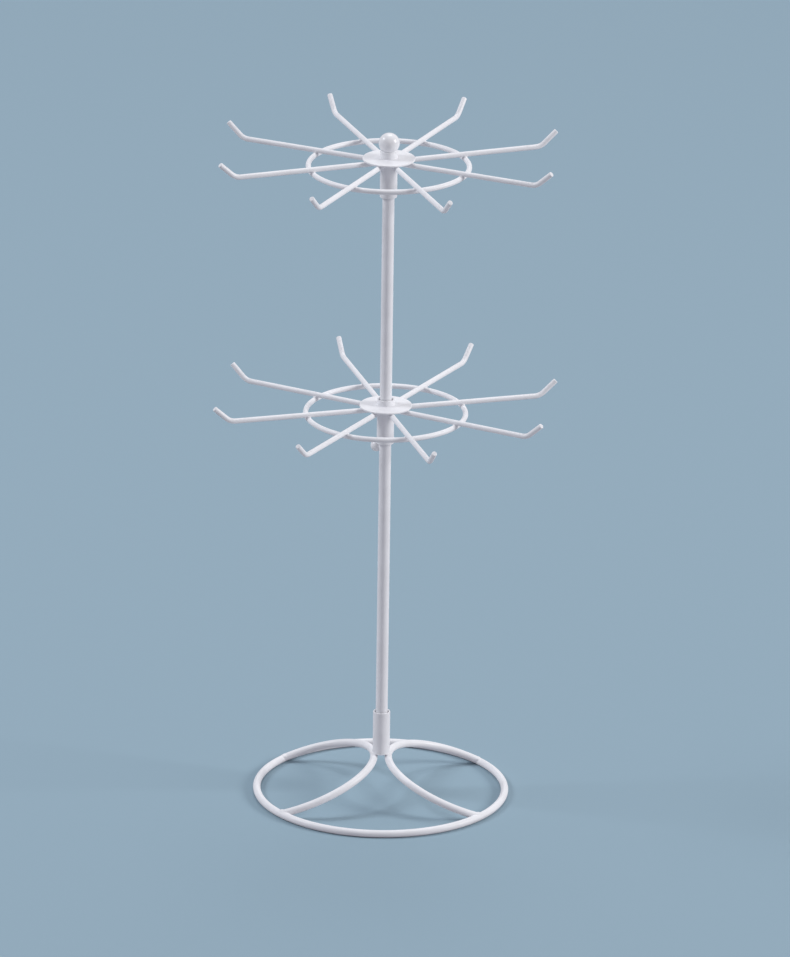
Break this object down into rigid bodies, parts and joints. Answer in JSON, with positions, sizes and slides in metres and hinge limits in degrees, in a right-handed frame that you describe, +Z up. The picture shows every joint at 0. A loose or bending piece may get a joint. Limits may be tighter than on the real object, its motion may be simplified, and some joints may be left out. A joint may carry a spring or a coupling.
{
  "type": "revolving jewelry stand",
  "caption": "Free-standing wire jewelry stand: a ring base with arches, a slim post and stacked tiers of radial hooks with upturned tips that spin freely on it.",
  "frame": {"origin": "on the table under the post's axis, at the centre of the base ring", "axes": "+Z up along the post, +X to the right and -Y towards the viewer of the picture"},
  "size_m": [0.2288, 0.2288, 0.4671],
  "materials": {
    "wire_coat": "white semi-gloss powder coat",
    "knob_coat": "white gloss powder coat"
  },
  "bodies": {
    "base": {"base_ring": "wire_coat", "base_arch_left": "wire_coat", "base_arch_right": "wire_coat", "base_socket": "wire_coat", "post": "wire_coat", "stop_screw": "knob_coat"},
    "upper_tier": {"upper_sleeve": "wire_coat", "upper_disc": "wire_coat", "upper_ring": "wire_coat", "ball_finial": "knob_coat", "upper_hook_1": "wire_coat", "upper_hook_2": "wire_coat", "upper_hook_3": "wire_coat", "upper_hook_4": "wire_coat", "upper_hook_5": "wire_coat", "upper_hook_6": "wire_coat", "upper_hook_7": "wire_coat", "upper_hook_8": "wire_coat"},
    "lower_tier": {"lower_sleeve": "wire_coat", "lower_disc": "wire_coat", "lower_ring": "wire_coat", "lower_hook_1": "wire_coat", "lower_hook_2": "wire_coat", "lower_hook_3": "wire_coat", "lower_hook_4": "wire_coat", "lower_hook_5": "wire_coat", "lower_hook_6": "wire_coat", "lower_hook_7": "wire_coat", "lower_hook_8": "wire_coat"}
  },
  "joints": [
    {"name": "upper_tier_spin", "type": "hinge", "parent": "base", "child": "upper_tier", "pos_m": [0, 0, 0.447], "axis": [0, 0, 1], "continuous": true},
    {"name": "lower_tier_spin", "type": "hinge", "parent": "base", "child": "lower_tier", "pos_m": [0, 0, 0.2739], "axis": [0, 0, 1], "continuous": true}
  ]
}
